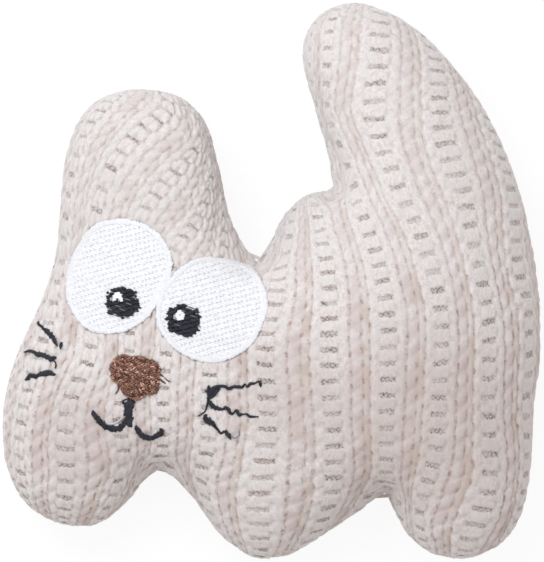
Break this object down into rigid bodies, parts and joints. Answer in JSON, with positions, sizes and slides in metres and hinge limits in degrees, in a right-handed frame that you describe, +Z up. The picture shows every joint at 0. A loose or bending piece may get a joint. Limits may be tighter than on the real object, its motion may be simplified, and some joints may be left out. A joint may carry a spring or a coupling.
{
  "type": "catnip toy",
  "caption": "Small stuffed knitted cat toy with embroidered face, sewn from a front and a back panel and filled with fibre and a catnip pouch.",
  "frame": {"origin": "on the flat rest face of the back, under the middle of the outline's box", "axes": "+Z up out of the embroidered face, +Y towards the ear and the tail tip, +X towards the tail's side"},
  "size_m": [0.0967, 0.1, 0.0342],
  "materials": {
    "knit": "cream chenille rib knit with open ladder columns",
    "cream_thread": "cream sewing thread",
    "white_thread": "white embroidery stitches",
    "black_thread": "blue-black embroidery stitches",
    "brown_thread": "brown embroidery stitches",
    "felt": "thin bonded felt sheet",
    "dried_leaf": "crumbled dried leaf",
    "fibre": "loose polyester fibre"
  },
  "bodies": {
    "root": {"front_panel": "knit", "back_panel": "knit", "seam_thread": "cream_thread", "closing_thread": "cream_thread", "left_eye_fill": "white_thread", "left_eye_border": "white_thread", "right_eye_fill": "white_thread", "right_eye_border": "white_thread", "left_pupil": "black_thread", "right_pupil": "black_thread", "left_highlight": "white_thread", "right_highlight": "white_thread", "nose": "brown_thread", "mouth_stem": "black_thread", "mouth_left": "black_thread", "mouth_right": "black_thread", "left_whisker_upper": "black_thread", "left_whisker_middle": "black_thread", "left_whisker_lower": "black_thread", "right_whisker_upper": "black_thread", "right_whisker_middle": "black_thread", "right_whisker_lower": "black_thread", "embroidery_backing": "felt", "pouch_front": "felt", "pouch_back": "felt", "catnip_leaf": "dried_leaf", "body_filling": "fibre", "head_filling": "fibre", "tail_filling": "fibre", "ear_filling": "fibre", "middle_foot_filling": "fibre", "hind_foot_filling": "fibre", "front_paw_filling": "fibre"}
  },
  "joints": []
}
